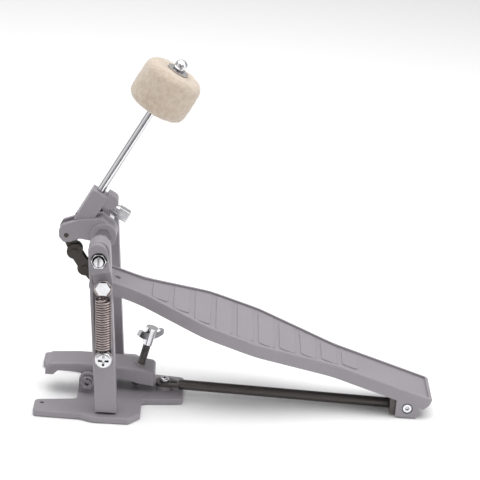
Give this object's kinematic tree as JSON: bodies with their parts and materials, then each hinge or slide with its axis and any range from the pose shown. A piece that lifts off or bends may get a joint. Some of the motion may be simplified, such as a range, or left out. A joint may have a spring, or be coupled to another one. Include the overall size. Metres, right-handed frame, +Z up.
{
  "type": "bass drum pedal",
  "caption": "Foot pedal whose hinged board pulls a chain and cam so that a felt beater on a sprung axle strikes a bass drum; it clamps to the drum's hoop.",
  "frame": {"origin": "on the floor under the axle, midway between the posts, on the underside of the base plate", "axes": "+X toward the player's heel, +Y toward the post without the spring, +Z up"},
  "size_m": [0.2504, 0.1139, 0.2197],
  "materials": {
    "casting": "grey powder coat over cast aluminium",
    "chrome_hardware": "polished chrome plate",
    "spring_wire": "plated spring wire",
    "dark_steel": "dark oiled drawn steel",
    "chain_steel": "black oxide",
    "felt": "pressed wool felt"
  },
  "bodies": {
    "frame": {"base_plate": "casting", "near_post": "casting", "far_post": "casting", "post_screws": "chrome_hardware", "axle_bushings": "dark_steel", "heel_bracket": "dark_steel", "connecting_rod": "dark_steel", "rod_tab_screw": "chrome_hardware", "anchor_spacer": "chrome_hardware", "spring_anchor_screw": "chrome_hardware", "spring_anchor_nut": "chrome_hardware", "clamp_pivot_pin": "chrome_hardware", "clamp_pin_nut": "chrome_hardware", "heel_pivot_screws": "chrome_hardware"},
    "footboard": {"footboard": "casting"},
    "beater_shaft": {"axle": "chrome_hardware", "beater_hub": "casting", "cam_pin": "chain_steel", "hub_grub_screw": "chrome_hardware", "beater_clamp_screw": "chrome_hardware", "spring_crank": "casting", "crank_stub": "chrome_hardware", "axle_lock_nut": "chrome_hardware", "axle_end_nut": "chrome_hardware"},
    "beater": {"beater_rod": "chrome_hardware", "felt_head": "felt", "lower_washer": "chrome_hardware", "upper_washer": "chrome_hardware", "ball_nut": "chrome_hardware"},
    "chain_upper": {"upper_link": "chain_steel", "cam_roller": "chain_steel", "upper_roller": "chain_steel"},
    "chain_middle": {"middle_link": "chain_steel", "upper_link_pin": "chain_steel", "lower_link_pin": "chain_steel"},
    "chain_lower": {"lower_link": "chain_steel", "lower_roller": "chain_steel", "toe_roller": "chain_steel", "toe_pin": "chain_steel"},
    "spring_swing": {"spring_lower_loop": "spring_wire", "spring_coil": "spring_wire"},
    "spring_end": {"spring_upper_loop": "spring_wire"},
    "clamp_lever": {"clamp_lever": "casting"},
    "wing_bolt": {"wing_bolt": "chrome_hardware", "wing_head": "chrome_hardware"}
  },
  "joints": [
    {"name": "footboard_press", "type": "hinge", "parent": "frame", "child": "footboard", "pos_m": [0.19744, 0, 0.0063], "axis": [0, -1, 0], "range_deg": [0, 5.54]},
    {"name": "beater_swing", "type": "hinge", "parent": "frame", "child": "beater_shaft", "pos_m": [0, 0, 0.106], "axis": [0, -1, 0], "range_deg": [0, 37], "stiffness_Nm_per_rad": 0.12, "springref_deg": -28.65},
    {"name": "beater_height", "type": "slide", "parent": "beater_shaft", "child": "beater", "axis": [0.4848, 0, 0.8746], "range_m": [-0.003, 0.006]},
    {"name": "chain_upper_pin", "type": "hinge", "parent": "beater_shaft", "child": "chain_upper", "pos_m": [-0.0231, 0, 0.1049], "axis": [0, 1, 0], "range_deg": [0, 45.5]},
    {"name": "chain_middle_pin", "type": "hinge", "parent": "chain_upper", "child": "chain_middle", "pos_m": [-0.01783, 0, 0.09334], "axis": [0, 1, 0], "range_deg": [0, 9.3]},
    {"name": "chain_lower_pin", "type": "hinge", "parent": "chain_middle", "child": "chain_lower", "pos_m": [-0.01079, 0, 0.08278], "axis": [0, 1, 0], "range_deg": [0, 8.5]},
    {"name": "spring_tilt", "type": "hinge", "parent": "frame", "child": "spring_swing", "pos_m": [0.0055, -0.0544, 0.0429], "axis": [0, 1, 0], "range_deg": [0, 10.4]},
    {"name": "spring_stretch", "type": "slide", "parent": "spring_swing", "child": "spring_end", "axis": [-0.0471, 0, 0.9989], "range_m": [0, 0.0058], "deforming": ["spring_coil"]},
    {"name": "clamp_swing", "type": "hinge", "parent": "frame", "child": "clamp_lever", "pos_m": [-0.0057, 0, 0.011], "axis": [0, -1, 0], "range_deg": [-4, 12]},
    {"name": "wing_feed", "type": "slide", "parent": "clamp_lever", "child": "wing_bolt", "axis": [-0.2317, 0, -0.9728], "range_m": [-0.0022, 0.0065]}
  ],
  "couplings": [
    {"joint": "beater_swing", "follows": "footboard_press", "ratio": 6.6824},
    {"joint": "chain_upper_pin", "follows": "footboard_press", "ratio": 8.2023},
    {"joint": "chain_middle_pin", "follows": "footboard_press", "ratio": 1.6616},
    {"joint": "chain_lower_pin", "follows": "footboard_press", "ratio": 1.5171},
    {"joint": "spring_tilt", "follows": "footboard_press", "ratio": 1.8729},
    {"joint": "spring_stretch", "follows": "footboard_press", "m_per_rad": 0.05909},
    {"joint": "wing_feed", "follows": "clamp_swing", "m_per_rad": 0.03019}
  ]
}
